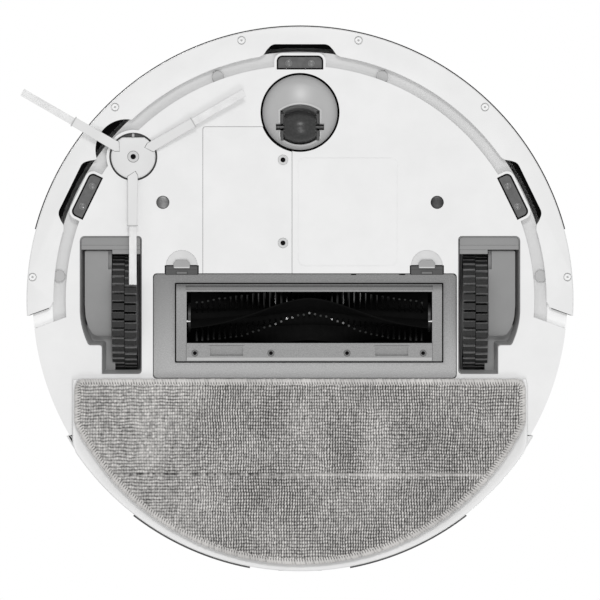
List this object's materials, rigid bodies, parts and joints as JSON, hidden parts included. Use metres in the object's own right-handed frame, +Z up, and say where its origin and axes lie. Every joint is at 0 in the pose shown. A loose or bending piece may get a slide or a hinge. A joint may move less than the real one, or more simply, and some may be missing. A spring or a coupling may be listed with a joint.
{
  "type": "robot vacuum",
  "caption": "Round robot vacuum with mop: sprung wheels, caster, side brush, roller brush under a latched cover, sliding rear tank with a microfibre pad, and a lidar turret.",
  "frame": {"origin": "middle of the robot's footprint, on the floor it stands on", "axes": "+Z up, -Y forward towards the bumper, +X to the robot's left"},
  "size_m": [0.3528, 0.3492, 0.097],
  "materials": {
    "white_plastic": "satin moulded white",
    "bright_white_plastic": "smooth white",
    "grey_plastic": "fine textured grey",
    "light_grey_plastic": "satin light grey",
    "speckled_grey_plastic": "speckled grey",
    "black_plastic": "matt black",
    "smoked_window": "smoked window",
    "tyre_rubber": "matt rubber",
    "bumper_rubber": "satin rubber",
    "pale_bristle": "pale flexible plastic",
    "dark_bristle": "dark nylon bristle",
    "steel": "plain steel",
    "battery_wrap": "shrink wrap",
    "circuit_board": "solder mask",
    "filter_paper": "pleated paper",
    "microfibre": "looped microfibre"
  },
  "bodies": {
    "chassis": {"chassis_base": "white_plastic", "top_cover": "white_plastic", "battery_cover": "white_plastic", "battery_pack": "battery_wrap", "main_board": "circuit_board", "cliff_sensor_front": "smoked_window", "cliff_sensor_left": "smoked_window", "cliff_sensor_right": "smoked_window", "charging_contact_left": "steel", "charging_contact_right": "steel", "wheel_well_left": "grey_plastic", "wheel_well_right": "grey_plastic", "blower_housing": "black_plastic", "blower_motor": "steel", "fan_duct": "black_plastic", "side_brush_motor": "black_plastic", "bumper_switch_left": "black_plastic", "bumper_switch_right": "black_plastic", "lidar_base": "grey_plastic", "caster_cup": "black_plastic", "brush_chamber": "black_plastic", "brush_motor": "steel", "suspension_spring_left": "steel", "suspension_spring_right": "steel"},
    "bumper": {"bumper_shell": "bright_white_plastic", "bumper_strip": "bumper_rubber", "bumper_liner": "black_plastic"},
    "suspension_left": {"suspension_arm_left": "grey_plastic", "wheel_motor_left": "steel"},
    "suspension_right": {"suspension_arm_right": "grey_plastic", "wheel_motor_right": "steel"},
    "drive_wheel_left": {"wheel_hub_left": "grey_plastic", "tyre_left": "tyre_rubber"},
    "drive_wheel_right": {"wheel_hub_right": "grey_plastic", "tyre_right": "tyre_rubber"},
    "caster": {"caster_fork": "light_grey_plastic", "caster_axle": "steel"},
    "caster_roller": {"caster_wheel": "tyre_rubber"},
    "side_brush": {"side_brush_hub": "pale_bristle", "side_brush_screw": "steel", "side_brush_tuft_1": "pale_bristle", "side_brush_tuft_2": "pale_bristle", "side_brush_tuft_3": "pale_bristle"},
    "main_brush": {"main_brush": "dark_bristle"},
    "brush_cover": {"brush_cover_frame": "speckled_grey_plastic"},
    "brush_guard": {"brush_guard": "speckled_grey_plastic"},
    "latch_left": {"cover_latch_left": "black_plastic"},
    "latch_right": {"cover_latch_right": "black_plastic"},
    "tank": {"tank_shell": "white_plastic", "tank_fill_plug": "grey_plastic", "dust_bin": "smoked_window", "dust_filter": "filter_paper"},
    "tank_button": {"tank_release_button": "light_grey_plastic"},
    "mop": {"mop_plate": "bright_white_plastic", "mop_pad": "microfibre"},
    "lidar_rotor": {"lidar_rotor": "black_plastic"},
    "lidar_cap": {"lidar_cap": "light_grey_plastic"},
    "power_button": {"power_button": "light_grey_plastic"},
    "home_button": {"home_button": "light_grey_plastic"},
    "impeller": {"blower_impeller": "light_grey_plastic"}
  },
  "joints": [
    {"name": "bumper_press", "type": "slide", "parent": "chassis", "child": "bumper", "axis": [0, 1, 0], "range_m": [0, 0.004], "stiffness_N_per_m": 500, "springref_m": -0.002},
    {"name": "suspension_droop_left", "type": "hinge", "parent": "chassis", "child": "suspension_left", "pos_m": [0.1378, -0.027, 0.03], "axis": [-1, 0, 0], "range_deg": [0, 17], "stiffness_Nm_per_rad": 0.3, "springref_deg": 40.11, "deforming": ["suspension_spring_left"]},
    {"name": "wheel_spin_left", "type": "hinge", "parent": "suspension_left", "child": "drive_wheel_left", "pos_m": [0.1123, 0.0076, 0.0365], "axis": [1, 0, 0], "continuous": true},
    {"name": "suspension_droop_right", "type": "hinge", "parent": "chassis", "child": "suspension_right", "pos_m": [-0.1378, -0.027, 0.03], "axis": [-1, 0, 0], "range_deg": [0, 17], "stiffness_Nm_per_rad": 0.3, "springref_deg": 40.11, "deforming": ["suspension_spring_right", "side_brush_tuft_1", "side_brush_tuft_2", "side_brush_tuft_3"]},
    {"name": "wheel_spin_right", "type": "hinge", "parent": "suspension_right", "child": "drive_wheel_right", "pos_m": [-0.1123, 0.0076, 0.0365], "axis": [1, 0, 0], "continuous": true},
    {"name": "caster_swivel", "type": "hinge", "parent": "chassis", "child": "caster", "pos_m": [0, -0.1202, 0.01], "axis": [0, 0, 1], "continuous": true},
    {"name": "caster_roll", "type": "hinge", "parent": "caster", "child": "caster_roller", "pos_m": [0, -0.1106, 0.0104], "axis": [1, 0, 0], "continuous": true},
    {"name": "side_brush_spin", "type": "hinge", "parent": "chassis", "child": "side_brush", "pos_m": [-0.1067, -0.0917, 0.008], "axis": [0, 0, 1], "continuous": true},
    {"name": "main_brush_spin", "type": "hinge", "parent": "chassis", "child": "main_brush", "pos_m": [0.006, 0.0111, 0.0195], "axis": [1, 0, 0], "continuous": true},
    {"name": "brush_cover_release", "type": "slide", "parent": "chassis", "child": "brush_cover", "axis": [0, 0, -1], "range_m": [0, 0.025]},
    {"name": "brush_guard_float", "type": "slide", "parent": "brush_cover", "child": "brush_guard", "axis": [0, 0, 1], "range_m": [0, 0.002]},
    {"name": "latch_release_left", "type": "slide", "parent": "brush_cover", "child": "latch_left", "axis": [0, 1, 0], "range_m": [0, 0.002], "stiffness_N_per_m": 300, "springref_m": -0.001},
    {"name": "latch_release_right", "type": "slide", "parent": "brush_cover", "child": "latch_right", "axis": [0, 1, 0], "range_m": [0, 0.002], "stiffness_N_per_m": 300, "springref_m": -0.001},
    {"name": "tank_slide", "type": "slide", "parent": "chassis", "child": "tank", "axis": [0, 1, 0], "range_m": [0, 0.125]},
    {"name": "tank_button_press", "type": "slide", "parent": "tank", "child": "tank_button", "axis": [0, -1, 0], "range_m": [0, 0.002], "stiffness_N_per_m": 400, "springref_m": -0.001},
    {"name": "mop_release", "type": "slide", "parent": "tank", "child": "mop", "axis": [0, 0, -1], "range_m": [0, 0.03]},
    {"name": "lidar_spin", "type": "hinge", "parent": "chassis", "child": "lidar_rotor", "pos_m": [0, 0.042, 0.08], "axis": [0, 0, 1], "continuous": true},
    {"name": "lidar_cap_press", "type": "slide", "parent": "chassis", "child": "lidar_cap", "axis": [0, 0, -1], "range_m": [0, 0.0012], "stiffness_N_per_m": 1200, "springref_m": -0.001},
    {"name": "power_button_press", "type": "slide", "parent": "chassis", "child": "power_button", "axis": [0, 0, -1], "range_m": [0, 0.0008], "stiffness_N_per_m": 600, "springref_m": -0.0008},
    {"name": "home_button_press", "type": "slide", "parent": "chassis", "child": "home_button", "axis": [0, 0, -1], "range_m": [0, 0.0008], "stiffness_N_per_m": 600, "springref_m": -0.0008},
    {"name": "impeller_spin", "type": "hinge", "parent": "chassis", "child": "impeller", "pos_m": [0.032, -0.062, 0.03], "axis": [0, 0, 1], "continuous": true}
  ]
}
